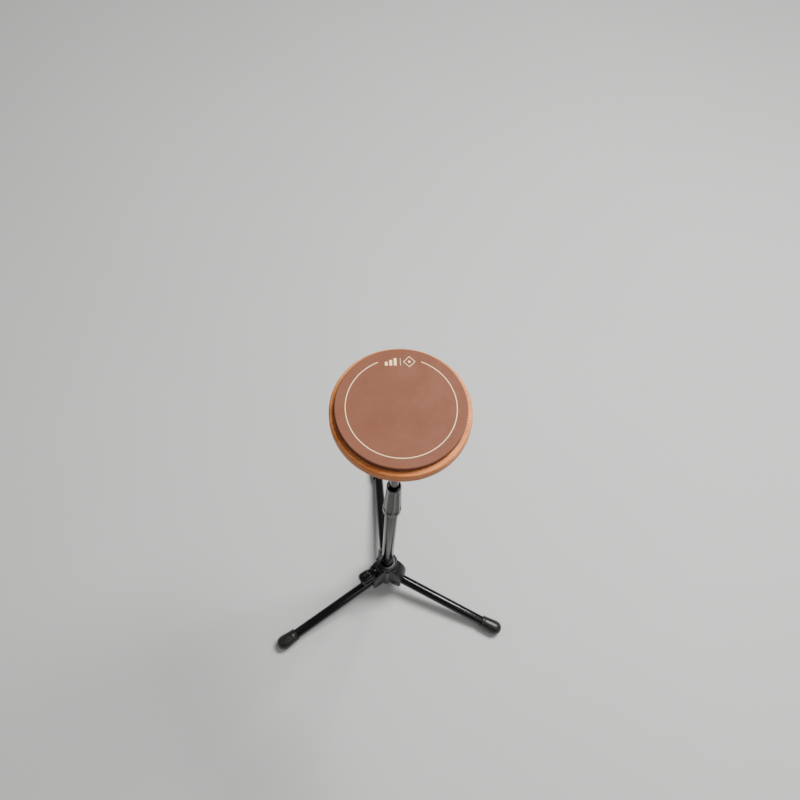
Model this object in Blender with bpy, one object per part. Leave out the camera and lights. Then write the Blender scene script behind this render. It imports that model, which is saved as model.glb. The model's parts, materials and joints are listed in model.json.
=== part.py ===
"""A round practice pad on a small folding tripod stand, as separate solids.

Metres, +Z up. The floor is z = 0, the back leg points along +Y, and the origin is the middle of the
floor area that the stand covers. Each moving piece hangs from an empty on its own joint's axis.
"""

import math

import bmesh
import bpy
from mathutils import Vector

MM = 0.001
GAP = 0.3 * MM  # between pieces that touch

# Pad
PAD_TOP = 665 * MM  # playing height
SURFACE_RADIUS = 76.2 * MM  # a six inch disc
SURFACE_THICK = 8 * MM
BASE_RADIUS = 82.5 * MM
BASE_THICK = 15.7 * MM
BASE_ROUND = 3 * MM
GRIP_OUTER = 74 * MM
GRIP_INNER = 46 * MM
GRIP_THICK = 1.5 * MM
INSERT_RADIUS = 6.2 * MM
INSERT_DEPTH = 12 * MM

# Column, from the M8 stud down to the plug that works the legs
STUD_RADIUS = 4 * MM
STUD_LENGTH = 24 * MM
NUT_RADIUS = 12 * MM
NUT_THICK = 8 * MM
WASHER_THICK = 2 * MM
UPPER_RADIUS = 6.35 * MM
UPPER_BORE = 5.2 * MM
UPPER_LENGTH = 360 * MM
LOWER_RADIUS = 9.5 * MM
LOWER_BORE = 8.3 * MM
LOWER_TOP = 374 * MM
SLEEVE_BOTTOM = 338 * MM
SLEEVE_TOP = 430 * MM
SLEEVE_WIDE = 13.3 * MM
SLEEVE_NARROW = 10.2 * MM
SLEEVE_MOUTH = 7.9 * MM
SLEEVE_RIM = 2.2 * MM
SLEEVE_FOOT = 0.12  # the plain foot ring's share of the sleeve
SLEEVE_FLUTES = 8
FLUTE_DEPTH = 0.8 * MM
CLUTCH_START = 350 * MM
CLUTCH_RADIUS = 10.4 * MM
COLLET_SHOULDER = 9 * MM
COLLET_NECK = 7.7 * MM
PLUG_RADIUS = 10.5 * MM
PLUG_HEAD = 5.9 * MM

# Hub
HUB_RADIUS = 17 * MM
HUB_BOTTOM = 25 * MM
HUB_TOP = 96 * MM
COLLAR_RISE = 7 * MM  # how far the collar stands up from the arms
BUSH_SEAT = 14.3 * MM
HUB_BORE = 11.2 * MM
HUB_FLOOR = 35.2 * MM  # top of the web that the leg heels stop on
SLOT_START = 9.7 * MM  # inside the bore, so that the heel has room at its corners
SLOT_ROOF = 57 * MM  # over the heel, which swings up as the leg folds down
SLOT_BROW = 48.3 * MM  # over the leg, at the arm's open end
CHEEK_REACH = 33.6 * MM
CHEEK_INNER = 8.3 * MM
CHEEK_OUTER = 11.9 * MM
RIB_RADIUS = 19.2 * MM
RIB_HALF_ANGLE = math.radians(12.5)
CHEEK_SHOULDER = 56 * MM  # where the cheek's edge turns from upright into its curve
LOCK_HEIGHT = 80 * MM
LOCK_NECK_START = 22.3 * MM
LOCK_HEAD_START = 37 * MM
LOCK_HEAD_END = 54 * MM
LOCK_NECK_RADIUS = 6.4 * MM
LOCK_HEAD_RADIUS = 12 * MM
LOCK_LOBES = 5
LOBE_DEPTH = 3 * MM
LOCK_SCREW_RADIUS = 3 * MM

# Legs
LEG_AZIMUTHS = {"back": 90, "left": 210, "right": 330}
PIVOT_REACH = 22 * MM
PIVOT_HEIGHT = 39.2 * MM
LEG_SLOPE = math.radians(8.64)
LEG_RADIUS = 8 * MM
LEG_BORE = 6.8 * MM
LEG_START = 8 * MM
LEG_END = 178 * MM
HEEL_LENGTH = 15 * MM
HEEL_HALF = 5 * MM
EYE_RADIUS = 7.6 * MM
EYE_HALF = 7.9 * MM
PIN_RADIUS = 3 * MM
FOOT_RADIUS = 12 * MM
FOOT_START = 163 * MM
FOOT_CENTRE = 188 * MM  # centre of the foot's ball end

# The column stands off the middle of the floor area, because one leg points back and two point forward.
COLUMN_Y = -(PIVOT_REACH + FOOT_CENTRE * math.cos(LEG_SLOPE)) / 4

ROUND = 32
ROUND_LARGE = 64
ROUND_SMALL = 20


def srgb(red, green, blue):
    """A display colour, 0 to 255, as the linear colour that a shader takes."""
    return tuple((value / 255) ** 2.2 for value in (red, green, blue)) + (1.0,)


def principled(name, colour, roughness, metallic=0.0):
    material = bpy.data.materials.new(name)
    material.use_nodes = True
    shader = material.node_tree.nodes["Principled BSDF"]
    shader.inputs["Base Color"].default_value = colour
    shader.inputs["Roughness"].default_value = roughness
    shader.inputs["Metallic"].default_value = metallic
    material.diffuse_color = colour
    return material


def make_materials():
    return {
        "brown_rubber": principled("brown_rubber", srgb(168, 121, 102), 0.7),
        "wood": principled("wood", srgb(214, 158, 118), 0.5),
        "black_rubber": principled("black_rubber", srgb(38, 37, 36), 0.75),
        "black_paint": principled("black_paint", srgb(22, 22, 24), 0.2),
        "black_cast": principled("black_cast", srgb(40, 39, 41), 0.45),
        "black_plastic": principled("black_plastic", srgb(24, 24, 26), 0.25),
        "nylon": principled("nylon", srgb(46, 46, 48), 0.5),
        "steel": principled("steel", srgb(176, 178, 182), 0.3, 1.0),
        "brass": principled("brass", srgb(196, 160, 90), 0.3, 1.0),
    }


def rounded(corners, steps=4):
    """The outline through corners (x, y, radius), each one turned into an arc of its radius."""
    outline = []
    for index, (x, y, radius) in enumerate(corners):
        corner = Vector((x, y))
        if radius == 0:
            outline.append((x, y))
            continue
        back = (Vector(corners[index - 1][:2]) - corner).normalized()
        ahead = (Vector(corners[(index + 1) % len(corners)][:2]) - corner).normalized()
        half = back.angle(ahead) / 2
        centre = corner + (back + ahead).normalized() * radius / math.sin(half)
        start = corner + back * radius / math.tan(half) - centre
        end = corner + ahead * radius / math.tan(half) - centre
        first = math.atan2(start.y, start.x)
        turn = (math.atan2(end.y, end.x) - first + math.pi) % math.tau - math.pi
        for step in range(steps + 1):
            angle = first + turn * step / steps
            outline.append((centre.x + radius * math.cos(angle), centre.y + radius * math.sin(angle)))
    return outline


def finished(mesh_name, bm):
    """A mesh of the closed body in bm, shaded smooth over its round faces."""
    bmesh.ops.recalc_face_normals(bm, faces=bm.faces)
    mesh = bpy.data.meshes.new(mesh_name)
    bm.to_mesh(mesh)
    bm.free()
    mesh.shade_smooth()
    mesh.set_sharp_from_angle(angle=math.radians(35))
    return mesh


def turned(mesh_name, profile, segments=ROUND, lobes=0):
    """The closed outline of (radius, height) points turned about +Z.

    A point may carry a third value, the depth of the hollow that the lobes leave between them there.
    """
    bm = bmesh.new()
    rings = []
    for radius, height, *hollow in profile:
        ring = []
        for index in range(segments if radius > 0 else 1):
            angle = math.tau * index / segments
            depth = hollow[0] * (0.5 - 0.5 * math.cos(lobes * angle)) if hollow else 0.0
            reach = radius - depth
            ring.append(bm.verts.new((reach * math.cos(angle), reach * math.sin(angle), height)))
        rings.append(ring)
    for one, other in zip(rings, rings[1:] + rings[:1]):
        if len(one) == 1 and len(other) == 1:
            continue
        for index in range(segments):
            after = (index + 1) % segments
            corners = [one[index % len(one)], one[after % len(one)]]
            corners += [other[after % len(other)], other[index % len(other)]]
            bm.faces.new(list(dict.fromkeys(corners)))
    return finished(mesh_name, bm)


def ring(mesh_name, outer, inner, bottom, top, segments=ROUND):
    """A plain ring or tube."""
    return turned(mesh_name, [(inner, bottom), (outer, bottom), (outer, top), (inner, top)], segments)


def cylinder(mesh_name, radius, bottom, top, segments=ROUND_SMALL):
    return turned(mesh_name, [(0, bottom), (radius, bottom), (radius, top), (0, top)], segments)


def extruded(mesh_name, outline, half_width):
    """The outline of (x, z) points, standing in the XZ plane and half_width thick to each side of it."""
    bm = bmesh.new()
    face = bm.faces.new([bm.verts.new((x, -half_width, z)) for x, z in outline])
    grown = bmesh.ops.extrude_face_region(bm, geom=[face])["geom"]
    moved = [item for item in grown if isinstance(item, bmesh.types.BMVert)]
    bmesh.ops.translate(bm, verts=moved, vec=(0, 2 * half_width, 0))
    return finished(mesh_name, bm)


def empty(name, parent=None, location=(0, 0, 0), rotation=(0, 0, 0)):
    marker = bpy.data.objects.new(name, None)
    marker.empty_display_size = 0.02
    return placed(marker, parent, location, rotation)


def placed(obj, parent, location=(0, 0, 0), rotation=(0, 0, 0)):
    bpy.context.scene.collection.objects.link(obj)
    obj.parent = parent
    obj.location = location
    obj.rotation_euler = rotation
    return obj


def piece(name, mesh, material, parent, location=(0, 0, 0), rotation=(0, 0, 0)):
    if not mesh.materials:
        mesh.materials.append(material)
    return placed(bpy.data.objects.new(name, mesh), parent, location, rotation)


def tool(name, mesh, parent, location=(0, 0, 0), rotation=(0, 0, 0)):
    """A helper that only shapes another piece."""
    helper = placed(bpy.data.objects.new(name, mesh), parent, location, rotation)
    helper.hide_render = True
    helper.display_type = "WIRE"
    return helper


def shaped(obj, operation, helper):
    modifier = obj.modifiers.new(helper.name, "BOOLEAN")
    modifier.operation = operation
    modifier.object = helper


def along_x():
    """The rotation that lays a piece turned about +Z along its parent's +X."""
    return (0, math.pi / 2, 0)


def across():
    """The rotation that lays a piece turned about +Z along its parent's +Y."""
    return (-math.pi / 2, 0, 0)


def make_pad(column, materials):
    """The rubber disc, its wooden base and what is fixed under it. Returns the height of the lowest face."""
    base_top = PAD_TOP - SURFACE_THICK - GAP
    base_bottom = base_top - BASE_THICK
    under = base_bottom - GAP
    lowest = under - GRIP_THICK

    corners = [(0, base_top + GAP, 0), (SURFACE_RADIUS, base_top + GAP, 0.4 * MM)]
    corners += [(SURFACE_RADIUS, PAD_TOP, 1.2 * MM), (0, PAD_TOP, 0)]
    piece("playing_surface", turned("playing_surface", rounded(corners, 3), ROUND_LARGE),
          materials["brown_rubber"], column)

    hole = INSERT_RADIUS + GAP
    hole_top = base_bottom + INSERT_DEPTH + 1 * MM
    corners = [(0, hole_top, 0), (hole, hole_top, 0), (hole, base_bottom, 0)]
    corners += [(BASE_RADIUS, base_bottom, BASE_ROUND), (BASE_RADIUS, base_top, BASE_ROUND), (0, base_top, 0)]
    piece("pad_base", turned("pad_base", rounded(corners, 2), ROUND_LARGE), materials["wood"], column)

    grip = ring("base_grip_ring", GRIP_OUTER, GRIP_INNER, lowest, under, ROUND_LARGE)
    piece("base_grip_ring", grip, materials["black_rubber"], column)

    bore = STUD_RADIUS + GAP
    flange = 10 * MM
    insert_top = base_bottom + INSERT_DEPTH
    profile = [(bore, lowest), (flange, lowest), (flange, under), (INSERT_RADIUS, under)]
    profile += [(INSERT_RADIUS, insert_top), (bore, insert_top)]
    piece("threaded_insert", turned("threaded_insert", profile, ROUND_SMALL), materials["brass"], column)
    return lowest


def make_pad_fixing(column, materials, pad_bottom):
    """The stud that the pad screws onto, with the washer and lock nut on it. Returns the stud's foot."""
    bore = STUD_RADIUS + GAP
    washer_top = pad_bottom - GAP
    washer = ring("pad_washer", 11 * MM, bore, washer_top - WASHER_THICK, washer_top)
    piece("pad_washer", washer, materials["nylon"], column)

    nut_top = washer_top - WASHER_THICK - GAP
    nut_bottom = nut_top - NUT_THICK
    knurl = 0.8 * MM
    bevel = 1.2 * MM
    profile = [(bore, nut_bottom), (NUT_RADIUS - bevel, nut_bottom), (NUT_RADIUS, nut_bottom + bevel, knurl)]
    profile += [(NUT_RADIUS, nut_top - bevel, knurl), (NUT_RADIUS - bevel, nut_top), (bore, nut_top)]
    piece("lock_nut", turned("lock_nut", profile, 54, 18), materials["steel"], column)

    shoulder = nut_bottom - GAP
    collar = UPPER_RADIUS + 1 * MM
    collar_bottom = shoulder - 4 * MM
    shank_bottom = collar_bottom - 20 * MM
    shank = UPPER_BORE - GAP
    tip = shoulder + STUD_LENGTH
    profile = [(0, shank_bottom), (shank - 0.6 * MM, shank_bottom), (shank, shank_bottom + 1.2 * MM)]
    profile += [(shank, collar_bottom), (collar, collar_bottom), (collar, shoulder)]
    profile += [(STUD_RADIUS, shoulder), (STUD_RADIUS, tip - 1 * MM), (STUD_RADIUS - 1 * MM, tip), (0, tip)]
    piece("top_stud", turned("top_stud", profile, ROUND_SMALL), materials["steel"], column)
    return collar_bottom


def make_upper_column(column, materials, stud_foot):
    top = stud_foot - GAP
    bottom = top - UPPER_LENGTH
    tube = ring("upper_tube", UPPER_RADIUS, UPPER_BORE, bottom, top)
    piece("upper_tube", tube, materials["black_paint"], column)

    collar = LOWER_BORE - GAP
    shank = UPPER_BORE - GAP
    collar_top = bottom - GAP
    collar_bottom = collar_top - 7 * MM
    profile = [(0, collar_bottom), (collar - 1 * MM, collar_bottom), (collar, collar_bottom + 1 * MM)]
    profile += [(collar, collar_top), (shank, collar_top), (shank, bottom + 16 * MM), (0, bottom + 16 * MM)]
    piece("guide_plug", turned("guide_plug", profile, ROUND), materials["nylon"], column)


def make_clutch(column, materials):
    """The twist clutch: a body on the lower tube, a split collet and the fluted sleeve that closes it."""
    body_bore = LOWER_RADIUS + GAP
    lip_bore = UPPER_RADIUS + 2 * GAP
    lip_bottom = LOWER_TOP + GAP
    lip_top = lip_bottom + 4 * MM
    profile = [(body_bore, CLUTCH_START), (CLUTCH_RADIUS, CLUTCH_START), (CLUTCH_RADIUS, lip_top)]
    profile += [(lip_bore, lip_top), (lip_bore, lip_bottom), (body_bore, lip_bottom)]
    piece("clutch_body", turned("clutch_body", profile, ROUND), materials["nylon"], column)

    collet_bottom = lip_top + GAP
    collet_top = SLEEVE_TOP - 5 * MM
    collet_bore = UPPER_RADIUS + GAP
    collet_cone = collet_bottom + 3 * MM
    profile = [(collet_bore, collet_bottom), (COLLET_SHOULDER, collet_bottom), (COLLET_SHOULDER, collet_cone)]
    profile += [(COLLET_NECK, collet_top), (collet_bore, collet_top)]
    collet = piece("clutch_collet", turned("clutch_collet", profile, ROUND), materials["nylon"], column)
    slit_bottom = collet_bottom + 6 * MM
    slit_top = collet_top + 2 * MM
    reach = COLLET_SHOULDER + 3 * MM
    outline = [(-reach, slit_bottom), (reach, slit_bottom), (reach, slit_top), (-reach, slit_top)]
    for index in range(2):
        slit = extruded("collet_slit", outline, 0.6 * MM)
        turn = (0, 0, math.pi / 4 + index * math.pi / 2)
        shaped(collet, "DIFFERENCE", tool(f"collet_slit_{index}", slit, column, (0, 0, 0), turn))

    height = SLEEVE_TOP - SLEEVE_BOTTOM
    lip = 1.2 * MM
    bevel = 0.8 * MM
    # Heights of the fluted surface's rings, as shares of the sleeve, and how deep the flutes are there.
    levels = [(0.02, 0), (SLEEVE_FOOT, 0), (0.15, 0.5), (0.2, 1), (0.6, 1), (0.9, 1), (0.95, 0.5), (0.97, 0)]
    outer = [(SLEEVE_WIDE - bevel, SLEEVE_BOTTOM)]
    for share, depth in levels:
        taper = max(0.0, share - SLEEVE_FOOT) / (1 - SLEEVE_FOOT)
        radius = SLEEVE_WIDE + (SLEEVE_NARROW - SLEEVE_WIDE) * taper
        outer.append((radius, SLEEVE_BOTTOM + share * height, depth * FLUTE_DEPTH))
    outer += [(SLEEVE_NARROW, SLEEVE_TOP - bevel), (SLEEVE_NARROW - bevel, SLEEVE_TOP)]
    cavity = CLUTCH_RADIUS + GAP
    foot_bore = LOWER_RADIUS + 2 * GAP
    # The cone inside keeps a gap to the collet's shoulder and neck.
    cone_foot = COLLET_SHOULDER + 2 * GAP
    inner = [(SLEEVE_MOUTH, SLEEVE_TOP - 0.4 * MM), (SLEEVE_MOUTH, SLEEVE_TOP - SLEEVE_RIM)]
    inner += [(COLLET_NECK + 2 * GAP, collet_top + GAP), (cone_foot, collet_cone)]
    inner += [(cone_foot, lip_top + 2 * GAP), (cavity, lip_top + GAP), (cavity, SLEEVE_BOTTOM + lip)]
    inner += [(foot_bore, SLEEVE_BOTTOM + lip), (foot_bore, SLEEVE_BOTTOM)]
    sleeve = turned("clutch_sleeve", outer + inner, 6 * SLEEVE_FLUTES, SLEEVE_FLUTES)
    piece("clutch_sleeve", sleeve, materials["black_plastic"], column)


def make_lower_column(column, materials):
    """The lower tube and the plug under it, whose head holds the leg heels down."""
    heel_top = PIVOT_HEIGHT + HEEL_LENGTH * math.sin(LEG_SLOPE) + HEEL_HALF * math.cos(LEG_SLOPE)
    head_bottom = heel_top + 1.5 * GAP
    head_top = head_bottom + PLUG_HEAD
    tube = ring("lower_tube", LOWER_RADIUS, LOWER_BORE, head_top + GAP, LOWER_TOP)
    piece("lower_tube", tube, materials["black_paint"], column)

    shank = LOWER_BORE - GAP
    shank_top = head_top + 17 * MM
    corners = [(0, head_bottom, 0), (PLUG_RADIUS, head_bottom, 1.5 * MM), (PLUG_RADIUS, head_top, 0.6 * MM)]
    corners += [(shank, head_top, 0), (shank, shank_top, 1 * MM), (0, shank_top, 0)]
    piece("spreader_plug", turned("spreader_plug", rounded(corners, 1), ROUND), materials["nylon"], column)


def hub_profile(seat):
    """The hub's outline from its drain hole out along the arms, over the collar and down its bore."""
    drain = 4 * MM
    corners = [(drain, HUB_BOTTOM, 0), (CHEEK_REACH, HUB_BOTTOM, 5 * MM), (CHEEK_REACH, CHEEK_SHOULDER, 0)]
    profile = rounded(corners)
    root = HUB_RADIUS - 5 * MM
    rise = HUB_TOP - COLLAR_RISE - CHEEK_SHOULDER
    run = CHEEK_REACH - root
    last = math.acos((HUB_RADIUS - root) / run)
    for step in range(1, 9):
        angle = last * step / 8
        profile.append((root + run * math.cos(angle), CHEEK_SHOULDER + rise * math.sin(angle)))
    profile += [(HUB_RADIUS, HUB_TOP - 1 * MM), (HUB_RADIUS - 1 * MM, HUB_TOP), (BUSH_SEAT, HUB_TOP)]
    return profile + [(BUSH_SEAT, seat), (HUB_BORE, seat), (HUB_BORE, HUB_FLOOR), (drain, HUB_FLOOR)]


def hub_plan():
    """The hub from above: three arms as wide as the clevises, with a ribbed round wall between them."""
    reach = CHEEK_REACH + 5 * MM
    wall = HUB_RADIUS + 0.4 * MM
    side = math.asin(CHEEK_OUTER / wall)
    rib = RIB_HALF_ANGLE
    outline = []
    for azimuth in LEG_AZIMUTHS.values():
        angle = math.radians(azimuth)
        along = Vector((math.cos(angle), math.sin(angle)))
        aside = Vector((-along.y, along.x)) * CHEEK_OUTER
        outline += [along * reach - aside, along * reach + aside]
        middle = angle + math.radians(60)
        turns = [(wall, angle + side), (wall, middle - rib), (RIB_RADIUS, middle - 0.9 * rib)]
        turns += [(RIB_RADIUS, middle + 0.9 * rib), (wall, middle + rib), (wall, 2 * middle - angle - side)]
        outline += [(radius * math.cos(turn), radius * math.sin(turn)) for radius, turn in turns]
    return outline


def slot_outline():
    """The space between a clevis's cheeks: high where the heel swings, then low over the leg."""
    beyond = CHEEK_REACH + 5 * MM
    below = HUB_BOTTOM - 5 * MM
    swing = PIVOT_REACH + 6.5 * MM
    outline = [(SLOT_START, below), (beyond, below), (beyond, SLOT_BROW), (swing + 2 * MM, SLOT_BROW)]
    return outline + [(swing, SLOT_ROOF), (SLOT_START, SLOT_ROOF)]


def knob_flare():
    """The lock knob's outline (radius, reach) from its neck out to its full width."""
    middle = (LOCK_HEAD_START + LOCK_NECK_START) / 2
    half = (LOCK_HEAD_RADIUS + LOCK_NECK_RADIUS) / 2
    return [(LOCK_NECK_RADIUS, LOCK_NECK_START + 0.6 * MM), (LOCK_NECK_RADIUS + 0.4 * MM, middle - 3 * MM),
            (half - 0.4 * MM, middle + 2 * MM), (LOCK_HEAD_RADIUS, LOCK_HEAD_START)]


def make_hub(column, sockets, materials):
    """The cast hub: a collar round the column over three arms, one for each leg."""
    seat = HUB_TOP - 3 * MM
    hub = piece("hub", turned("hub", hub_profile(seat), 72), materials["black_cast"], column)
    middle = (HUB_TOP + HUB_BOTTOM) / 2
    plan = extruded("hub_plan", hub_plan(), HUB_TOP - middle + 5 * MM)
    shaped(hub, "INTERSECT", tool("hub_plan", plan, column, (0, 0, middle), across()))
    pin_hole = cylinder("pin_hole", PIN_RADIUS + GAP, -20 * MM, 20 * MM)
    for name, socket in sockets.items():
        slot = extruded("slot", slot_outline(), CHEEK_INNER)
        shaped(hub, "DIFFERENCE", tool(f"slot_{name}", slot, socket))
        pivot = (PIVOT_REACH, 0, PIVOT_HEIGHT)
        shaped(hub, "DIFFERENCE", tool(f"pin_hole_{name}", pin_hole, socket, pivot, across()))

    room = 1.5 * MM
    screw_bore = LOCK_SCREW_RADIUS + GAP
    spot = LOCK_NECK_START - 0.8 * MM
    profile = [(0, HUB_BORE - 4 * MM), (screw_bore, HUB_BORE - 4 * MM), (screw_bore, spot)]
    profile.append((LOCK_NECK_RADIUS + room, spot))
    profile += [(radius + room, reach) for radius, reach in knob_flare()[1:]]
    profile += [(LOCK_HEAD_RADIUS + room, LOCK_HEAD_END), (0, LOCK_HEAD_END)]
    screw_hole = turned("screw_hole", profile, ROUND)
    height = (0, 0, LOCK_HEIGHT)
    shaped(hub, "DIFFERENCE", tool("screw_hole", screw_hole, sockets["left"], height, along_x()))

    bush_bore = LOWER_RADIUS + GAP
    bush_outer = HUB_BORE - GAP
    flange = BUSH_SEAT - GAP
    flange_bottom = seat + GAP
    flange_top = flange_bottom + 1.6 * MM
    bush_bottom = LOCK_HEIGHT + 5 * MM
    profile = [(bush_bore, bush_bottom), (bush_outer, bush_bottom), (bush_outer, flange_bottom)]
    profile += [(flange, flange_bottom), (flange, flange_top), (bush_bore, flange_top)]
    piece("hub_bush", turned("hub_bush", profile, ROUND), materials["nylon"], column)


def make_lock(socket, materials):
    """The clamp screw through the hub's collar over the left leg, with its knob and pressure shoe."""
    axis = empty("lock_axis", socket, (0, 0, LOCK_HEIGHT), along_x())
    shoe_start = LOWER_RADIUS + GAP
    shoe_end = shoe_start + 1.4 * MM
    shoe = cylinder("clamp_shoe", 2.6 * MM, shoe_start, shoe_end)
    piece("clamp_shoe", shoe, materials["brass"], axis)

    screw_start = shoe_end + GAP
    screw_end = LOCK_HEAD_START + 8 * MM
    corners = [(0, screw_start, 0), (LOCK_SCREW_RADIUS, screw_start, 0.6 * MM)]
    corners += [(LOCK_SCREW_RADIUS, screw_end, 0), (0, screw_end, 0)]
    screw = turned("clamp_screw", rounded(corners, 2), ROUND_SMALL)
    piece("clamp_screw", screw, materials["steel"], axis)

    bore = LOCK_SCREW_RADIUS + GAP
    end = LOCK_HEAD_END
    wide = LOCK_HEAD_RADIUS
    profile = [(bore, LOCK_NECK_START), (LOCK_NECK_RADIUS - 0.6 * MM, LOCK_NECK_START)]
    # The lobes start part-way up the flare and fade out again over the domed end.
    for (radius, reach), share in zip(knob_flare(), (0, 0, 0.4, 1)):
        profile.append((radius, reach, share * LOBE_DEPTH))
    profile += [(wide, end - 8 * MM, LOBE_DEPTH), (wide - 1.2 * MM, end - 4 * MM, LOBE_DEPTH)]
    profile += [(wide - 4 * MM, end - 1.2 * MM, 0.6 * LOBE_DEPTH), (wide - 8 * MM, end)]
    profile += [(0, end), (0, screw_end + GAP), (bore, screw_end + GAP)]
    knob = turned("lock_knob", profile, 8 * LOCK_LOBES, LOCK_LOBES)
    piece("lock_knob", knob, materials["black_plastic"], axis)


def leg_meshes():
    """The meshes that the three legs share, each along +X or +Z from the leg's own pivot."""
    tube = ring("leg_tube", LEG_RADIUS, LEG_BORE, LEG_START, LEG_END, 24)

    eye = [(EYE_RADIUS * math.cos(angle), EYE_RADIUS * math.sin(angle))
           for angle in (math.pi / 2 + math.pi * step / 10 for step in range(11))]
    block_end = LEG_START - GAP
    block = extruded("leg_heel", eye + [(block_end, -EYE_RADIUS), (block_end, EYE_RADIUS)], EYE_HALF)
    tip = [(-HEEL_LENGTH, -HEEL_HALF), (0, -HEEL_HALF), (0, HEEL_HALF), (-HEEL_LENGTH, HEEL_HALF)]
    heel_tip = extruded("heel_tip", tip, HEEL_HALF)
    shank = cylinder("heel_shank", LEG_BORE - GAP, LEG_START - 4 * MM, LEG_START + 22 * MM, 24)
    hole = cylinder("heel_hole", PIN_RADIUS + GAP, -12 * MM, 12 * MM)

    bore = LEG_RADIUS + GAP
    collar = 10.4 * MM
    corners = [(bore, FOOT_START, 0), (collar, FOOT_START, 1 * MM), (FOOT_RADIUS, FOOT_START + 14 * MM, 0)]
    profile = rounded(corners, 2)
    for step in range(6):
        angle = step / 6 * math.pi / 2
        profile.append((FOOT_RADIUS * math.cos(angle), FOOT_CENTRE + FOOT_RADIUS * math.sin(angle)))
    profile.append((0, FOOT_CENTRE + FOOT_RADIUS))
    profile += [(0, LEG_END + GAP), (bore, LEG_END + GAP)]
    foot = turned("foot", profile, 24)

    half = CHEEK_OUTER + GAP
    dome = 1.4 * MM
    head = 4.6 * MM
    profile = [(0, -half - dome), (head - 1.4 * MM, -half - dome), (head, -half), (PIN_RADIUS, -half)]
    profile += [(PIN_RADIUS, half), (head, half), (head - 1.4 * MM, half + dome), (0, half + dome)]
    pin = turned("pivot_pin", profile, ROUND_SMALL)
    meshes = {"tube": tube, "block": block, "tip": heel_tip, "shank": shank, "hole": hole}
    return meshes | {"foot": foot, "pin": pin}


def make_legs(sockets, materials):
    meshes = leg_meshes()
    size = 0.5
    floor = [(-size, -size), (size, -size), (size, 0), (-size, 0)]
    floor_tool = tool("floor_below", extruded("floor_below", floor, size), None)
    for name, socket in sockets.items():
        pivot = (PIVOT_REACH, 0, PIVOT_HEIGHT)
        hinge = empty(f"pivot_{name}", socket, pivot, (0, LEG_SLOPE, 0))
        piece(f"leg_{name}", meshes["tube"], materials["black_paint"], hinge, (0, 0, 0), along_x())
        heel = piece(f"heel_{name}", meshes["block"], materials["nylon"], hinge)
        shaped(heel, "UNION", tool(f"heel_tip_{name}", meshes["tip"], hinge))
        shaped(heel, "UNION", tool(f"heel_shank_{name}", meshes["shank"], hinge, (0, 0, 0), along_x()))
        shaped(heel, "DIFFERENCE", tool(f"heel_hole_{name}", meshes["hole"], hinge, (0, 0, 0), across()))
        foot = piece(f"foot_{name}", meshes["foot"], materials["black_rubber"], hinge, (0, 0, 0), along_x())
        shaped(foot, "DIFFERENCE", floor_tool)
        piece(f"pivot_pin_{name}", meshes["pin"], materials["steel"], socket, pivot, across())


def main():
    for obj in list(bpy.data.objects):
        bpy.data.objects.remove(obj, do_unlink=True)
    materials = make_materials()
    column = empty("column_axis", None, (0, COLUMN_Y, 0))
    sockets = {
        name: empty(f"socket_{name}", column, (0, 0, 0), (0, 0, math.radians(azimuth)))
        for name, azimuth in LEG_AZIMUTHS.items()
    }
    pad_bottom = make_pad(column, materials)
    stud_foot = make_pad_fixing(column, materials, pad_bottom)
    make_upper_column(column, materials, stud_foot)
    make_clutch(column, materials)
    make_lower_column(column, materials)
    make_hub(column, sockets, materials)
    make_lock(sockets["left"], materials)
    make_legs(sockets, materials)


main()
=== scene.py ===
"""Looks for the practice pad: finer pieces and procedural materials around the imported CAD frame."""

import json
import math

import bmesh
import bpy
from mathutils import Matrix, Vector


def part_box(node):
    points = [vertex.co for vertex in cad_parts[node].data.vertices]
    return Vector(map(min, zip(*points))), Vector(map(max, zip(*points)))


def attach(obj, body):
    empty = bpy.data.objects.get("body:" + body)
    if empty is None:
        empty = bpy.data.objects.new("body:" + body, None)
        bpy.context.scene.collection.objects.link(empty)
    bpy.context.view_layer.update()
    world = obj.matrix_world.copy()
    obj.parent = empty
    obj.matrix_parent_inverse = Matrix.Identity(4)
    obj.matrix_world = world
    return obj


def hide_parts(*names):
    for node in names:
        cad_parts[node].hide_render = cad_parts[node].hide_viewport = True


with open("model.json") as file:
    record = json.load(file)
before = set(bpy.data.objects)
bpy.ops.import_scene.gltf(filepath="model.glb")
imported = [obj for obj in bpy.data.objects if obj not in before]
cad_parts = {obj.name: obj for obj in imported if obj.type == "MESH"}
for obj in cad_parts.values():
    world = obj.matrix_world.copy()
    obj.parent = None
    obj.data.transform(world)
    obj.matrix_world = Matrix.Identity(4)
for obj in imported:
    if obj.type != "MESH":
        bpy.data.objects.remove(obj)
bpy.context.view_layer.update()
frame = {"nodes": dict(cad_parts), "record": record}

MM = 0.001
CLEARANCE = 0.3 * MM  # between a turned cover and the parts inside it
UP = Vector((0, 0, 1))
LEGS = ("back", "left", "right")
nodes = frame["nodes"]
record = frame["record"]
joint_of = {joint["name"]: joint for joint in record["behaviour"]["joints"]}

# ---------------------------------------------------------------- measuring the frame


def corners_of(node):
    """Every corner of a CAD node's mesh, in metres."""
    mesh = nodes[node].data
    return [vertex.co for vertex in mesh.vertices]


def middle(node):
    """The middle of a CAD node's box."""
    low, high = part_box(node)
    return (Vector(low) + Vector(high)) / 2


COLUMN = middle("lower_tube")
COLUMN.z = 0.0


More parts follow.
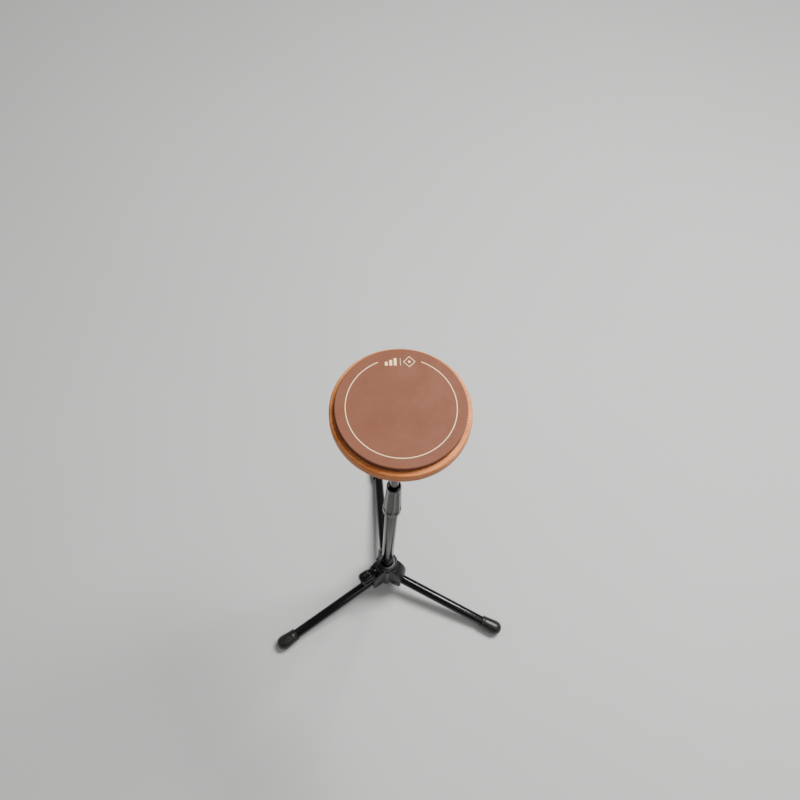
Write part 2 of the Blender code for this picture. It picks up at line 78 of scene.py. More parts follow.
class Axis:
    """A line through the frame that pieces are turned about, with heights measured along it."""

    def __init__(self, origin, direction, side=None):
        self.origin = Vector(origin)
        self.direction = Vector(direction).normalized()
        side = Vector(side) if side else self.direction.orthogonal()
        across = self.direction.cross(side).normalized()
        rotation = Matrix((across.cross(self.direction), across, self.direction)).transposed()
        self.matrix = Matrix.Translation(self.origin) @ rotation.to_4x4()

    def span(self, node):
        """(start, end) of a node along the axis."""
        places = [(corner - self.origin).dot(self.direction) for corner in corners_of(node)]
        return min(places), max(places)

    def radii(self, node):
        """(smallest, largest) distance of a node's corners from the axis."""
        reach = [(corner - self.origin).cross(self.direction).length for corner in corners_of(node)]
        return min(reach), max(reach)


column_axis = Axis(COLUMN, UP, (1, 0, 0))
pivots = {leg: Vector(joint_of[f"{leg}_leg_fold"]["pos_m"]) for leg in LEGS}
pin_axes = {leg: Vector(joint_of[f"{leg}_leg_fold"]["axis"]) for leg in LEGS}
leg_axes = {}
for leg in LEGS:
    tube_corners = corners_of(f"leg_{leg}")
    tube_centre = sum(tube_corners, Vector()) / len(tube_corners)
    leg_axes[leg] = Axis(pivots[leg], tube_centre - pivots[leg], pin_axes[leg])
lock = joint_of["lock_knob_turn"]
lock_axis = Axis(lock["pos_m"], lock["axis"], UP)

# ---------------------------------------------------------------- shapes


def arc(centre, radius, start, end, steps=8):
    """Points on an arc of degrees from start to end, as (x, y)."""
    points = []
    for step in range(steps + 1):
        angle = math.radians(start + (end - start) * step / steps)
        points.append((centre[0] + radius * math.cos(angle), centre[1] + radius * math.sin(angle)))
    return points


def clamped(value):
    return max(0.0, min(1.0, value))


def eased(share):
    """0 to 1 with a gentle start and end."""
    return share * share * (3 - 2 * share)


def add_object(name, bm, material, body, sharp=40):
    """The mesh in bm as a piece in its material, which rides on a CAD body."""
    bmesh.ops.recalc_face_normals(bm, faces=bm.faces)
    mesh = bpy.data.meshes.new(name)
    bm.to_mesh(mesh)
    bm.free()
    mesh.shade_smooth()
    mesh.set_sharp_from_angle(angle=math.radians(sharp))
    piece = bpy.data.objects.new(name, mesh)
    bpy.context.scene.collection.objects.link(piece)
    mesh.materials.append(MATERIALS[material])
    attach(piece, body)
    return piece


def turned(profile, axis, segments=96, shape=None):
    """The closed outline of (radius, height) turned about an axis.

    shape(radius, height, angle) may change a radius.
    """
    bm = bmesh.new()
    rings = []
    for radius, height in profile:
        ring = []
        for index in range(segments if radius > 0 else 1):
            angle = math.tau * index / segments
            reach = shape(radius, height, angle) if shape else radius
            local = Vector((reach * math.cos(angle), reach * math.sin(angle), height))
            ring.append(bm.verts.new(axis.matrix @ local))
        rings.append(ring)
    for one, other in zip(rings, rings[1:] + rings[:1]):
        if len(one) == 1 and len(other) == 1:
            continue
        for index in range(segments):
            after = (index + 1) % segments
            corners = [one[index % len(one)], one[after % len(one)]]
            corners += [other[after % len(other)], other[index % len(other)]]
            bm.faces.new(list(dict.fromkeys(corners)))
    return bm


def tube_profile(outer, inner, start, end, lip=0.35 * MM):
    """A tube with small rounded lips at its ends."""
    profile = arc((outer - lip, start + lip), lip, -90, 0, 3)
    profile += arc((outer - lip, end - lip), lip, 0, 90, 3)
    profile += arc((inner + lip, end - lip), lip, 90, 180, 3)
    profile += arc((inner + lip, start + lip), lip, 180, 270, 3)
    return profile


def softened(node, voxel, rounds, material, body, name):
    """A finer copy of a CAD node whose edges are rounded over, as casting or moulding leaves them."""
    source = nodes[node]
    piece = bpy.data.objects.new(name, source.data.copy())
    bpy.context.scene.collection.objects.link(piece)
    piece.matrix_world = source.matrix_world.copy()
    remesh = piece.modifiers.new("even_skin", "REMESH")
    remesh.mode = "VOXEL"
    remesh.voxel_size = voxel
    smooth = piece.modifiers.new("worn_edges", "SMOOTH")
    smooth.factor = 0.5
    smooth.iterations = rounds
    graph = bpy.context.evaluated_depsgraph_get()
    mesh = bpy.data.meshes.new_from_object(piece.evaluated_get(graph))
    piece.modifiers.clear()
    piece.data = mesh
    mesh.name = name
    mesh.materials.clear()
    mesh.materials.append(MATERIALS[material])
    mesh.shade_smooth()
    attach(piece, body)
    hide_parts(node)


# ---------------------------------------------------------------- materials


def srgb(red, green, blue):
    """A colour of 0 to 255 as linear light, by a plain 2.2 gamma, with full alpha."""
    return tuple((value / 255) ** 2.2 for value in (red, green, blue)) + (1.0,)


# Where a Mix node keeps its factor and its two colours, and its colour result.
MIX_COLOUR_INPUTS = (0, 6, 7)
MIX_COLOUR_OUTPUT = 2


class Shader:
    """A small builder for one Principled material whose colour, gloss and bump come from noise."""

    def __init__(self, name, metallic=0.0, specular=0.5):
        self.material = bpy.data.materials.new(name)
        self.material.use_nodes = True
        self.tree = self.material.node_tree
        self.surface = self.tree.nodes["Principled BSDF"]
        self.surface.inputs["Metallic"].default_value = metallic
        self.surface.inputs["Specular IOR Level"].default_value = specular
        self.place = self.node("ShaderNodeTexCoord").outputs["Object"]
        self.normal = None

    def node(self, kind, **values):
        made = self.tree.nodes.new(kind)
        for name, value in values.items():
            setattr(made, name, value)
        return made

    def link(self, source, target):
        self.tree.links.new(source, target)

    def feed(self, value, socket):
        """Links a socket, or sets a plain number or colour."""
        if isinstance(value, bpy.types.NodeSocket):
            self.link(value, socket)
        else:
            socket.default_value = value

    def mapped(self, scale):
        """The place on the object, scaled."""
        mapping = self.node("ShaderNodeMapping")
        mapping.inputs["Scale"].default_value = scale
        self.link(self.place, mapping.inputs["Vector"])
        return mapping.outputs["Vector"]

    def noise(self, size, detail=4.0, rough=0.55, stretch=(1, 1, 1)):
        """Noise with features of about size metres, longer along an axis whose stretch is under 1."""
        texture = self.node("ShaderNodeTexNoise")
        texture.inputs["Scale"].default_value = 1.0
        texture.inputs["Detail"].default_value = detail
        texture.inputs["Roughness"].default_value = rough
        self.link(self.mapped([part / size for part in stretch]), texture.inputs["Vector"])
        return texture.outputs["Fac"]

    def cells(self, size):
        """Distance to the nearest of scattered points about size metres apart."""
        texture = self.node("ShaderNodeTexVoronoi")
        self.link(self.mapped([1 / size] * 3), texture.inputs["Vector"])
        return texture.outputs["Distance"]

    def spread(self, source, low, high, floor=0.3, ceiling=0.7):
        """source between floor and ceiling, as a number from low to high."""
        remap = self.node("ShaderNodeMapRange")
        remap.inputs["From Min"].default_value = floor
        remap.inputs["From Max"].default_value = ceiling
        remap.inputs["To Min"].default_value = low
        remap.inputs["To Max"].default_value = high
        self.link(source, remap.inputs["Value"])
        return remap.outputs["Result"]

    def ramp(self, source, stops):
        """source, 0 to 1, as a colour between stops of (place, colour)."""
        ramp = self.node("ShaderNodeValToRGB")
        elements = ramp.color_ramp.elements
        while len(elements) < len(stops):
            elements.new(0.5)
        for element, (place, colour) in zip(elements, stops):
            element.position = place
            element.color = colour
        self.link(source, ramp.inputs["Fac"])
        return ramp.outputs["Color"]

    def mix(self, factor, one, other, blend="MIX"):
        """one towards other by factor. factor is a socket or a number; the others sockets or colours."""
        mixer = self.node("ShaderNodeMix", data_type="RGBA", blend_type=blend)
        factor_in, one_in, other_in = (mixer.inputs[index] for index in MIX_COLOUR_INPUTS)
        self.feed(factor, factor_in)
        self.feed(one, one_in)
        self.feed(other, other_in)
        return mixer.outputs[MIX_COLOUR_OUTPUT]

    def maths(self, operation, one, other):
        node = self.node("ShaderNodeMath", operation=operation)
        self.feed(one, node.inputs[0])
        self.feed(other, node.inputs[1])
        return node.outputs[0]

    def bump(self, source, depth, strength=1.0):
        """Adds a height of depth metres, on top of the bumps already there."""
        node = self.node("ShaderNodeBump")
        node.inputs["Strength"].default_value = strength
        node.inputs["Distance"].default_value = depth
        self.link(source, node.inputs["Height"])
        if self.normal:
            self.link(self.normal, node.inputs["Normal"])
        self.normal = node.outputs["Normal"]

    def done(self, colour, roughness):
        self.link(colour, self.surface.inputs["Base Color"])
        self.link(roughness, self.surface.inputs["Roughness"])
        if self.normal:
            self.link(self.normal, self.surface.inputs["Normal"])
        return self.material


def rubber_material():
    """Brown natural rubber: a fine matte grain, faintly cloudy, with rubbed patches."""
    shader = Shader("brown_rubber", specular=0.12)
    cloud = shader.noise(28 * MM, 3.0)
    grain = shader.noise(0.55 * MM, 3.0, 0.7)
    base = shader.ramp(cloud, [(0.3, srgb(121, 77, 59)), (0.7, srgb(129, 84, 66))])
    specks = shader.ramp(grain, [(0.35, srgb(196, 196, 196)), (0.65, srgb(255, 255, 255))])
    colour = shader.mix(0.55, base, specks, "MULTIPLY")
    shader.bump(grain, 0.10 * MM, 0.5)
    shader.bump(shader.noise(4 * MM, 2.0), 0.08 * MM, 0.3)
    return shader.done(colour, shader.spread(shader.noise(9 * MM), 0.52, 0.68))


def wood_material():
    """Lacquered beech: long grain along X, fine pores and a soft colour change between the growth bands."""
    shader = Shader("natural_wood", specular=0.14)
    bands = shader.noise(16 * MM, 4.0, 0.5, (0.12, 1.0, 1.6))
    fibre = shader.noise(1.5 * MM, 5.0, 0.65, (0.05, 1.0, 1.0))
    pores = shader.noise(0.9 * MM, 2.0, 0.5, (0.09, 1.0, 1.0))
    tones = [(0.25, srgb(190, 108, 58)), (0.5, srgb(214, 132, 76)), (0.78, srgb(232, 153, 96))]
    base = shader.ramp(bands, tones)
    streaks = shader.ramp(fibre, [(0.32, srgb(205, 190, 178)), (0.6, srgb(255, 255, 255))])
    grained = shader.mix(0.75, base, streaks, "MULTIPLY")
    flecks = shader.ramp(pores, [(0.3, srgb(120, 70, 42)), (0.38, srgb(255, 255, 255))])
    colour = shader.mix(0.4, grained, flecks, "MULTIPLY")
    shader.bump(fibre, 0.06 * MM, 0.4)
    return shader.done(colour, shader.spread(bands, 0.34, 0.48))


def paint_material():
    """Gloss black enamel on steel tube: faint orange peel, dust haze and hairline rubs along the tube."""
    shader = Shader("black_paint", specular=0.36)
    haze = shader.noise(22 * MM, 4.0)
    rubs = shader.noise(0.7 * MM, 3.0, 0.6, (1.0, 1.0, 0.02))
    colour = shader.mix(haze, srgb(10, 10, 11), srgb(22, 22, 23))
    dull_rubs = shader.spread(rubs, 0.0, 0.09, 0.55, 0.75)
    roughness = shader.maths("ADD", shader.spread(haze, 0.12, 0.18), dull_rubs)
    shader.bump(shader.noise(2.2 * MM, 2.0), 0.02 * MM, 0.5)
    return shader.done(colour, roughness)


def cast_material():
    """Black powder coat on a die casting: a close pebble and slightly worn tone."""
    shader = Shader("black_cast", specular=0.3)
    pebble = shader.noise(0.7 * MM, 2.0, 0.5)
    cloud = shader.noise(12 * MM, 4.0)
    colour = shader.mix(cloud, srgb(22, 21, 22), srgb(38, 36, 37))
    shader.bump(pebble, 0.09 * MM, 0.4)
    shader.bump(shader.noise(5 * MM, 2.0), 0.15 * MM, 0.25)
    return shader.done(colour, shader.spread(cloud, 0.3, 0.42))


def gloss_plastic_material():
    """Polished black plastic with a soft ripple from its mould and fine handling marks."""
    shader = Shader("gloss_black_plastic", specular=0.26)
    smear = shader.noise(9 * MM, 5.0)
    colour = shader.mix(smear, srgb(11, 11, 12), srgb(24, 24, 25))
    shader.bump(shader.noise(5 * MM, 1.0), 0.04 * MM, 0.3)
    shader.bump(shader.noise(0.5 * MM, 2.0), 0.01 * MM, 0.4)
    return shader.done(colour, shader.spread(smear, 0.14, 0.27))


def black_rubber_material():
    """Black rubber with a low shine, dusty, with a skin of fine pits."""
    shader = Shader("black_rubber", specular=0.45)
    dust = shader.noise(7 * MM, 6.0, 0.65)
    pits = shader.cells(0.8 * MM)
    colour = shader.mix(dust, srgb(22, 21, 20), srgb(42, 40, 38))
    shader.bump(pits, 0.08 * MM, 0.4)
    return shader.done(colour, shader.spread(dust, 0.26, 0.4))


def nylon_material():
    """Dull black nylon with a moulded grain."""
    shader = Shader("black_nylon")
    grain = shader.noise(0.6 * MM, 3.0)
    tone = shader.noise(8 * MM, 3.0)
    colour = shader.mix(tone, srgb(34, 34, 36), srgb(52, 52, 54))
    shader.bump(grain, 0.06 * MM, 0.4)
    return shader.done(colour, shader.spread(tone, 0.42, 0.56))


def steel_material():
    """Zinc-plated steel: brushed lines round the part and a cloudy plating tone."""
    shader = Shader("bright_steel", metallic=1.0)
    lines = shader.noise(0.3 * MM, 3.0, 0.6, (0.1, 0.1, 1.0))
    cloud = shader.noise(6 * MM, 4.0)
    colour = shader.mix(cloud, srgb(160, 162, 166), srgb(198, 199, 200))
    shader.bump(lines, 0.015 * MM, 0.5)
    return shader.done(colour, shader.spread(lines, 0.24, 0.4))


def brass_material():
    """Turned brass: fine lines round the part and a patchy tarnish."""
    shader = Shader("brass", metallic=1.0)
    lines = shader.noise(0.3 * MM, 3.0, 0.6, (0.1, 0.1, 1.0))
    tarnish = shader.noise(5 * MM, 4.0)
    colour = shader.mix(tarnish, srgb(176, 138, 66), srgb(214, 178, 100))
    shader.bump(lines, 0.015 * MM, 0.5)
    return shader.done(colour, shader.spread(tarnish, 0.25, 0.42))


def ink_material():
    """Cream screen print: thin ink that picks up the rubber's grain."""
    shader = Shader("cream_ink", specular=0.3)
    grain = shader.noise(0.55 * MM, 3.0, 0.7)
    colour = shader.ramp(grain, [(0.3, srgb(252, 210, 152)), (0.6, srgb(255, 232, 184))])
    shader.bump(grain, 0.05 * MM, 0.4)
    return shader.done(colour, shader.spread(grain, 0.5, 0.64))


MATERIALS = {
    "brown_rubber": rubber_material(),
    "natural_wood": wood_material(),
    "black_paint": paint_material(),
    "black_cast": cast_material(),
    "gloss_black_plastic": gloss_plastic_material(),
    "black_rubber": black_rubber_material(),
    "black_nylon": nylon_material(),
    "bright_steel": steel_material(),
    "brass": brass_material(),
    "cream_ink": ink_material(),
}

# ---------------------------------------------------------------- pad

PRINT_RADIUS = 63.5 * MM
PRINT_WIDTH = 0.85 * MM
PRINT_RAISED = 0.05 * MM
# The gap in the printed circle, in degrees round the pad from +X, where the motif stands.
GAP_START = 64.2
GAP_END = 110.9
MOTIF_RADIUS = 58.7 * MM
MOTIF_SHIFT = 1 * MM  # how far the divider stands right of the gap's middle


def make_playing_surface():
    """The rubber disc with its rounded rim. Returns the height of its top, which carries the print."""
    bottom, top = column_axis.span("playing_surface")
    radius = column_axis.radii("playing_surface")[1]
    top -= 2 * PRINT_RAISED
    edge = 1.3 * MM
    profile = [(0, bottom), (radius * 0.5, bottom)]
    profile += arc((radius - 0.5 * MM, bottom + 0.5 * MM), 0.5 * MM, -90, 0, 4)
    profile += arc((radius - edge, top - edge), edge, 0, 90, 10)
    profile += [(radius * share, top) for share in (0.97, 0.8, 0.5, 0.2)] + [(0, top)]
    surface = add_object("rubber_disc", turned(profile, column_axis, 192), "brown_rubber", "pad")
    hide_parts("playing_surface")
    return top


def print_strip(bm, top, inner, outer, start, end, steps):
    """A thin raised strip of ink along an arc round the pad's middle."""
    rows = []
    for step in range(steps + 1):
        angle = math.radians(start + (end - start) * step / steps)
        ray = Vector((math.cos(angle), math.sin(angle), 0))
        row = []
        for reach, height in ((inner, 0), (outer, 0), (outer, PRINT_RAISED), (inner, PRINT_RAISED)):
            row.append(bm.verts.new(COLUMN + ray * reach + UP * (top + height)))
        rows.append(row)
    for one, other in zip(rows, rows[1:]):
        for side in range(4):
            bm.faces.new((one[side], one[(side + 1) % 4], other[(side + 1) % 4], other[side]))
    bm.faces.new(rows[0])
    bm.faces.new(rows[-1])


def print_plate(bm, top, outline):
    """A flat raised patch of ink with the outline of (x, y) points from the pad's middle."""
    low = [bm.verts.new(COLUMN + Vector((x, y, top))) for x, y in outline]
    high = [bm.verts.new(COLUMN + Vector((x, y, top + PRINT_RAISED))) for x, y in outline]
    bm.faces.new(low)
    bm.faces.new(high)
    for index in range(len(outline)):
        after = (index + 1) % len(outline)
        bm.faces.new((low[index], low[after], high[after], high[index]))


def make_print(top):
    """The circle line, and a plain motif in its gap: rising bars, a divider and a diamond ring."""
    bm = bmesh.new()
    half = PRINT_WIDTH / 2
    print_strip(bm, top, PRINT_RADIUS - half, PRINT_RADIUS + half, GAP_END, GAP_START + 360, 220)
    middle_angle = math.radians((GAP_START + GAP_END) / 2)
    out = Vector((math.cos(middle_angle), math.sin(middle_angle)))
    right = Vector((out.y, -out.x))
    heart = out * MOTIF_RADIUS + right * MOTIF_SHIFT

    def at(sideways, upwards):
        return heart + right * sideways * MM + out * upwards * MM

    def block(left, low, wide, high):
        outline = [at(left, low), at(left + wide, low), at(left + wide, low + high), at(left, low + high)]
        print_plate(bm, top, outline)

    def diamond(sideways, upwards, size):
        return [at(sideways + size * x, upwards + size * y) for x, y in ((1, 0), (0, 1), (-1, 0), (0, -1))]

    # In millimetres: the divider, the bars that rise from its foot, and the diamond on its other side.
    tall, foot = 9.6, -4.8
    divider, bar, pitch, first_bar, diamond_place = 0.5, 3.2, 5.2, -18.0, 10.4
    block(-divider / 2, foot, divider, tall)
    for index, height in enumerate((5.0, 7.3, tall)):
        block(first_bar + index * pitch, foot, bar, height)
    outer, inner = diamond(diamond_place, 0, 7.2), diamond(diamond_place, 0, 6.3)
    for turn in range(4):
        after = (turn + 1) % 4
        print_plate(bm, top, [outer[turn], outer[after], inner[after], inner[turn]])
    print_plate(bm, top, diamond(diamond_place, 0, 1.8))
    add_object("printed_ring", bm, "cream_ink", "pad")


def make_base():
    """The round wooden base, rounded at both rims, with a blind hole round the insert."""
    bottom, top = column_axis.span("pad_base")
    radius = column_axis.radii("pad_base")[1]
    hole = column_axis.radii("threaded_insert")[0] + 2.2 * MM
    hole_top = column_axis.span("threaded_insert")[1] + 1 * MM
    rounding = 3 * MM
    profile = [(0, hole_top), (hole, hole_top), (hole, bottom + 0.4 * MM), (hole + 0.4 * MM, bottom)]
    profile += [(radius * 0.6, bottom)] + arc((radius - rounding, bottom + rounding), rounding, -90, 0, 10)
    profile += arc((radius - rounding, top - rounding), rounding, 0, 90, 10)
    profile += [(radius * share, top) for share in (0.93, 0.5)] + [(0, top)]
    base = add_object("wooden_base", turned(profile, column_axis, 192), "natural_wood", "pad")
    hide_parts("pad_base")


def make_grip():
    """The anti-slip ring, with fine concentric ribs moulded in its underside."""
    bottom, top = column_axis.span("base_grip_ring")
    inner, outer = column_axis.radii("base_grip_ring")
    ribs = 9
    rib_foot = bottom + 0.5 * MM
    profile = [(inner, top), (inner, rib_foot)]
    pitch = (outer - inner) / ribs
    for rib in range(ribs):
        start = inner + rib * pitch
        profile += arc((start + pitch / 2, rib_foot), pitch * 0.32, 200, 340, 4)
    profile = [(radius, max(height, bottom)) for radius, height in profile]
    profile += [(outer, rib_foot), (outer, top)]
    grip = add_object("grip_ring", turned(profile, column_axis, 128), "black_rubber", "pad", 60)
    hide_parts("base_grip_ring")


# ---------------------------------------------------------------- column


def make_tubes():
    """The two column tubes, open at both ends."""
    pipes = (("upper_tube", "upper_pipe", "upper_column"), ("lower_tube", "lower_pipe", "column"))
    for node, name, body in pipes:
        start, end = column_axis.span(node)
        inner, outer = column_axis.radii(node)
        tube = turned(tube_profile(outer, inner, start, end), column_axis, 96)
        pipe = add_object(name, tube, "black_paint", body)
        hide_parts(node)


def make_nut():
    """The lock nut, straight-knurled round its rim."""
    bottom, top = column_axis.span("lock_nut")
    inner, outer = column_axis.radii("lock_nut")
    bevel = 1.1 * MM
    chamfer = 0.4 * MM
    knurls = 40
    knurl_depth = 0.45 * MM

    def knurled(radius, _height, angle):
        if radius < outer - 0.1 * MM:
            return radius
        return radius - knurl_depth * abs(math.sin(knurls / 2 * angle))

    profile = [(inner, bottom + chamfer), (inner + chamfer, bottom), (outer - bevel, bottom)]
    profile += [(outer, bottom + bevel), (outer, top - bevel), (outer - bevel, top)]
    profile += [(inner + chamfer, top), (inner, top - chamfer)]
    bm = turned(profile, column_axis, knurls * 6, knurled)
    nut = add_object("knurled_nut", bm, "bright_steel", "stud_nut", 30)
    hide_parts("lock_nut")


def make_sleeve():
    """The clutch sleeve: eight long hollows that end round over a plain foot ring, and a thin bright rim."""
    bottom, top = column_axis.span("clutch_sleeve")
    wide = column_axis.radii("clutch_sleeve")[1]
    narrow = 10.2 * MM
    height = top - bottom
    foot = 0.12  # the plain ring's share of the height
    flutes = 8
    depth = 1.1 * MM
    round_end = 5 * MM
    runout = 3 * MM
    rim = 3.5 * MM

    def outside(share):
        return wide + (narrow - wide) * max(0.0, share - foot) / (1 - foot)

    def fluted(radius, place, angle):
        share = (place - bottom) / height
        if radius < outside(share) - 0.3 * MM:
            return radius
        wave = 0.5 - 0.5 * math.cos(flutes * angle)
        # A hollow starts higher at its sides than along its middle, which rounds its ends.
        ends = round_end * (1 - math.sqrt(wave))
        starting = (place - bottom - foot * height - ends) / runout
        ending = (top - rim - place - ends) / runout
        fade = clamped(starting) * clamped(ending)
        return radius - depth * eased(fade) * min(1.0, 1.6 * wave)

    mouth, collet_neck, collet_shoulder = 7.9 * MM, 8.3 * MM, 9.6 * MM
    collet_bottom, collet_top = column_axis.span("clutch_collet")
    body_top = column_axis.span("clutch_body")[1]
    cavity = column_axis.radii("clutch_body")[1] + CLEARANCE
    foot_bore = column_axis.radii("lower_tube")[1] + 2 * CLEARANCE
    lip = 1.2 * MM
    profile = [(wide - 0.7 * MM, bottom), (wide - 0.2 * MM, bottom + 0.2 * MM), (wide, bottom + 0.7 * MM)]
    places = [0.03, 0.06, 0.09, 0.11, foot]
    places += [foot + 0.007 * step for step in range(1, 21)]
    places += [0.3 + 0.05 * step for step in range(12)]
    places += [0.86 + 0.01 * step for step in range(13)]
    profile += [(outside(share), bottom + share * height) for share in places]
    profile += arc((narrow - 0.6 * MM, top - 0.6 * MM), 0.6 * MM, 0, 90, 4)
    profile += arc((mouth + 0.5 * MM, top - 0.5 * MM), 0.5 * MM, 90, 180, 4)
    profile += [(mouth, top - 2.2 * MM), (collet_neck, collet_top + CLEARANCE)]
    profile += [(collet_shoulder, collet_bottom + 3 * MM), (collet_shoulder, body_top + 2 * CLEARANCE)]
    profile += [(cavity, body_top + CLEARANCE), (cavity, bottom + lip)]
    profile += [(foot_bore, bottom + lip), (foot_bore, bottom)]
    sleeve = turned(profile, column_axis, 192, fluted)
    piece = add_object("twist_sleeve", sleeve, "gloss_black_plastic", "height_clutch", 50)
    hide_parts("clutch_sleeve")


# ---------------------------------------------------------------- hub and legs

CAST_GRID = 0.5 * MM  # the skin's fineness on the softened parts


def make_hub():
    """The hub casting, and the light-edged bush in its top."""
    softened("hub", CAST_GRID, 4, "black_cast", "hub", "hub_casting")
    bottom, top = column_axis.span("hub_bush")
    inner, outer = column_axis.radii("hub_bush")
    flange = top - 1.6 * MM
    sleeve = 10.9 * MM
    profile = [(inner, bottom), (sleeve, bottom), (sleeve, flange)]
    profile += arc((outer - 0.3 * MM, flange + 0.3 * MM), 0.3 * MM, -90, 0, 3)
    profile += arc((outer - 0.6 * MM, top - 0.6 * MM), 0.6 * MM, 0, 90, 4)
    profile += arc((inner + 1.0 * MM, top - 1.0 * MM), 1.0 * MM, 90, 180, 5)
    bush = add_object("collar_bush", turned(profile, column_axis, 96), "black_nylon", "hub")
    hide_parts("hub_bush")


def make_lock_knob():
    """The hub's clamp knob: a neck that flares out into a domed head with five soft lobes."""
    start, end = lock_axis.span("lock_knob")
    wide = lock_axis.radii("lock_knob")[1]
    neck = 6.4 * MM
    head = end - 17 * MM
    crown = end - 8 * MM
    screw_end = lock_axis.span("clamp_screw")[1]
    bore = lock_axis.radii("clamp_screw")[1] + CLEARANCE
    lobes = 5
    depth = 2.9 * MM

    def lobed(radius, place, angle):
        if radius <= bore:
            return radius
        wave = (0.5 + 0.5 * math.cos(lobes * angle)) ** 1.3
        grown = clamped((radius - neck) / (wide - neck))
        if place > crown:
            grown = clamped(radius / wide) ** 1.5
        return radius - depth * wave * grown

    edge = 0.6 * MM
    profile = [(bore, start), (neck - edge, start)] + arc((neck - edge, start + edge), edge, -60, 0, 3)
    for step in range(1, 17):
        share = step / 16
        swell = eased(share)
        profile.append((neck + (wide - neck) * swell, start + edge + (head - start - edge) * share))
    profile += [(wide, head + 3 * MM * step) for step in (1, 2, 3)]
    shoulder = head + 9 * MM
    dome = end - shoulder
    for step in range(1, 15):
        angle = math.radians(90 * step / 15)
        profile.append((wide * math.cos(angle) ** 0.75, shoulder + dome * math.sin(angle)))
    profile += [(0, end), (0, screw_end + CLEARANCE), (bore, screw_end + CLEARANCE)]
    bm = turned(profile, lock_axis, 160, lobed)
    knob = add_object("hub_knob", bm, "gloss_black_plastic", "hub_lock", 60)
    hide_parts("lock_knob")


def make_foot(leg):
    """A rubber boot: a collar round the tube, a swelling body and a ball end pressed flat on the floor."""
    axis = leg_axes[leg]
    start, end = axis.span(f"foot_{leg}")
    ball = 12 * MM
    end -= 0.1 * MM  # a round ball reaches further out than the flat facets it replaces
    centre = end - ball
    tube_radius = axis.radii(f"leg_{leg}")[1]
    tube_end = axis.span(f"leg_{leg}")[1]
    bore = tube_radius + 0.15 * MM
    collar = 10.4 * MM
    groove = collar - 0.35 * MM
    flare = start + 4.6 * MM
    flare_length = centre - start - 6 * MM
    chamfer = 0.6 * MM
    profile = [(bore, start + chamfer), (bore + chamfer, start)]
    profile += arc((collar - 0.8 * MM, start + 0.8 * MM), 0.8 * MM, -90, 0, 4)
    profile += [(collar, start + 3 * MM), (groove, start + 3.5 * MM), (groove, start + 4.1 * MM)]
    profile += [(collar + 0.1 * MM, flare)]
    for step in range(1, 9):
        share = step / 8
        swell = eased(share)
        profile.append((collar + (ball - collar) * swell, flare + flare_length * share))
    profile += arc((0, centre), ball, 0, 84, 18) + [(0, end)]
    profile += [(0, tube_end + 0.2 * MM), (bore, tube_end + 0.2 * MM)]
    bm = turned(profile, axis, 96)
    floor = min(vertex.co.z for vertex in nodes[f"foot_{leg}"].data.vertices)
    for vertex in bm.verts:
        vertex.co.z = max(vertex.co.z, floor)
    foot = add_object(f"rubber_foot_{leg}", bm, "black_rubber", f"{leg}_leg", 50)
    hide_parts(f"foot_{leg}")


def make_legs():
    """Each leg's tube, its end in the hub, its boot and its rivet."""
    for leg in LEGS:
        axis = leg_axes[leg]
        start, end = axis.span(f"leg_{leg}")
        inner, outer = axis.radii(f"leg_{leg}")
        pipe = turned(tube_profile(outer, inner, start, end), axis, 96)
        tube = add_object(f"leg_pipe_{leg}", pipe, "black_paint", f"{leg}_leg")
        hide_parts(f"leg_{leg}")
        softened(f"heel_{leg}", CAST_GRID, 3, "black_nylon", f"{leg}_leg", f"leg_end_{leg}")
        make_foot(leg)
        make_pin(leg)


def make_pin(leg):
    """A pivot rivet with a low domed head at each end."""
    axis = Axis(pivots[leg], pin_axes[leg], UP)
    start, end = axis.span(f"pivot_pin_{leg}")
    head = axis.radii(f"pivot_pin_{leg}")[1]
    shank = 3 * MM
    dome = 1.4 * MM
    flat = 1.2 * MM
    dome_angles = (0.2, 0.45, 0.7, 0.95, 1.2)
    profile = [(0, start), (flat, start)]
    profile += [(head * math.cos(a), start + dome - dome * math.sin(a)) for a in reversed(dome_angles)]
    profile += [(head, start + dome), (shank, start + dome), (shank, end - dome), (head, end - dome)]
    profile += [(head * math.cos(a), end - dome + dome * math.sin(a)) for a in dome_angles]
    profile += [(flat, end), (0, end)]
    pin = add_object(f"pivot_rivet_{leg}", turned(profile, axis, 48), "black_cast", "hub")
    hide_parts(f"pivot_pin_{leg}")


# ---------------------------------------------------------------- carried-over nodes


def finish_carried_nodes():
    """The small and hidden CAD nodes keep their shapes and take the new materials, with softened edges."""
    kept = ("threaded_insert", "pad_washer", "top_stud", "guide_plug", "clutch_body", "clutch_collet")
    kept += ("spreader_plug", "clamp_screw", "clamp_shoe")
    slot_of = {part["node"]: part["material_slot"] for part in record["subparts"]}
    for name in kept:
        node = nodes[name]
        for slot in node.material_slots:
            slot.material = MATERIALS[slot_of[name]]
        bevel = node.modifiers.new("soft_edges", "BEVEL")
        bevel.width = 0.2 * MM
        bevel.segments = 2
        bevel.limit_method = "ANGLE"


# ---------------------------------------------------------------- camera, lights, floor

LENS = 41.5
SENSOR = 36.0
ELEVATION = math.radians(62.43)
HEADING = math.radians(-9.1)  # the view's turn about +Z, from looking along +Y
ROLL = math.radians(5.08)
DISTANCE = 1.043  # from the camera to the pad's top, along the view
PAD_RIGHT = 1.6 * MM  # how far the pad's middle lies right of and below the view's centre
PAD_BELOW = 7.7 * MM
LIT_MIDDLE = Vector((0, 0, 0.35))  # where the lights point
LIGHT_DISTANCE = 2.2
FLOOR_HALF = 6  # half the floor's side


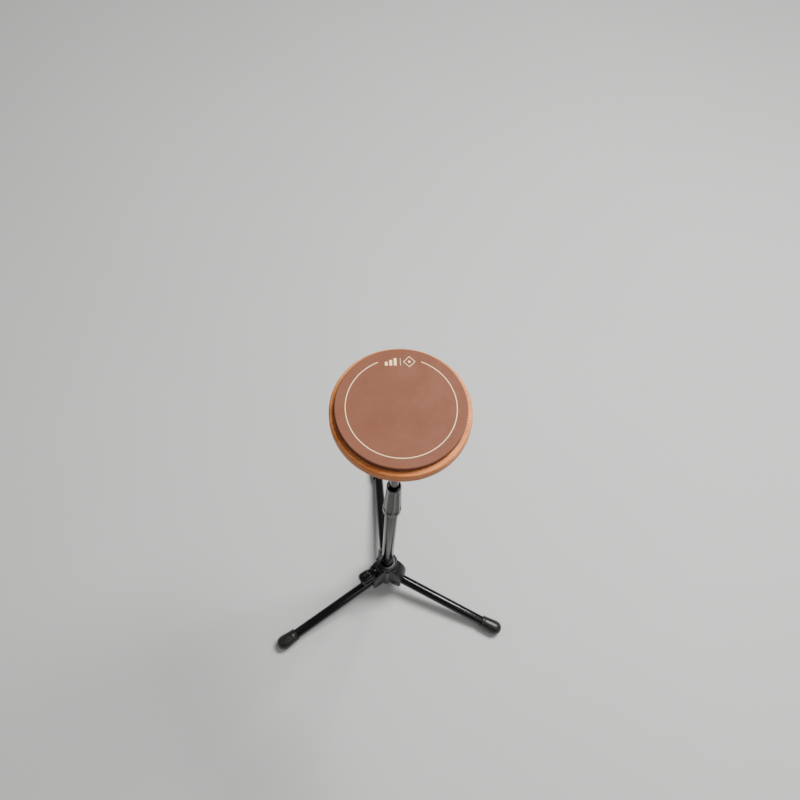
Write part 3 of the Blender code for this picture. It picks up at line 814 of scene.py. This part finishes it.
def make_camera():
    """The camera, placed from the pad's top along the view."""
    turn = Matrix.Rotation(HEADING, 3, "Z")
    forward = turn @ Vector((0, math.cos(ELEVATION), -math.sin(ELEVATION)))
    level = turn @ Vector((1, 0, 0))
    rise = level.cross(forward)
    right = math.cos(ROLL) * level + math.sin(ROLL) * rise
    top = math.cos(ROLL) * rise - math.sin(ROLL) * level
    pad_top = COLUMN + UP * column_axis.span("playing_surface")[1]
    place = pad_top - forward * DISTANCE - right * PAD_RIGHT + top * PAD_BELOW
    data = bpy.data.cameras.new("camera")
    data.lens = LENS
    data.sensor_width = SENSOR
    camera = bpy.data.objects.new("camera", data)
    bpy.context.scene.collection.objects.link(camera)
    rotation = Matrix((right, top, -forward)).transposed().to_4x4()
    camera.matrix_world = Matrix.Translation(place) @ rotation
    bpy.context.scene.camera = camera


def softbox(name, azimuth, elevation, size, power):
    """A rectangular light that faces the part's middle, placed by its direction from there in degrees."""
    turn, tilt = math.radians(azimuth), math.radians(elevation)
    towards = Vector((math.cos(tilt) * math.cos(turn), math.cos(tilt) * math.sin(turn), math.sin(tilt)))
    data = bpy.data.lights.new(name, "AREA")
    data.shape = "RECTANGLE"
    data.size, data.size_y = size
    data.energy = power
    light = bpy.data.objects.new(name, data)
    bpy.context.scene.collection.objects.link(light)
    light.location = LIT_MIDDLE + towards * LIGHT_DISTANCE
    light.rotation_euler = towards.to_track_quat("Z", "Y").to_euler()


def make_stage():
    """A plain pale floor under soft studio lights and an even pale surround."""
    bm = bmesh.new()
    bmesh.ops.create_grid(bm, x_segments=1, y_segments=1, size=FLOOR_HALF)
    mesh = bpy.data.meshes.new("studio_floor")
    bm.to_mesh(mesh)
    bm.free()
    floor = bpy.data.objects.new("studio_floor", mesh)
    bpy.context.scene.collection.objects.link(floor)
    shader = Shader("studio_paper", specular=0.2)
    tone = shader.noise(0.4, 2.0)
    paper = shader.mix(tone, srgb(196, 195, 193), srgb(202, 201, 199))
    mesh.materials.append(shader.done(paper, shader.spread(tone, 0.8, 0.9)))
    softbox("key", azimuth=25, elevation=57, size=(0.8, 1.0), power=74)
    softbox("back", azimuth=57, elevation=62, size=(0.3, 0.3), power=18)
    softbox("fill", azimuth=-45, elevation=45, size=(1.3, 1.3), power=8)
    softbox("side", azimuth=190, elevation=40, size=(1.2, 1.2), power=4)
    world = bpy.data.worlds.new("studio")
    bpy.context.scene.world = world
    world.use_nodes = True
    surround = world.node_tree.nodes["Background"]
    surround.inputs["Color"].default_value = (0.85, 0.86, 0.88, 1)
    surround.inputs["Strength"].default_value = 0.25


make_camera()
make_stage()
surface_top = make_playing_surface()
make_print(surface_top)
make_base()
make_grip()
make_tubes()
make_nut()
make_sleeve()
make_hub()
make_lock_knob()
make_legs()
finish_carried_nodes()
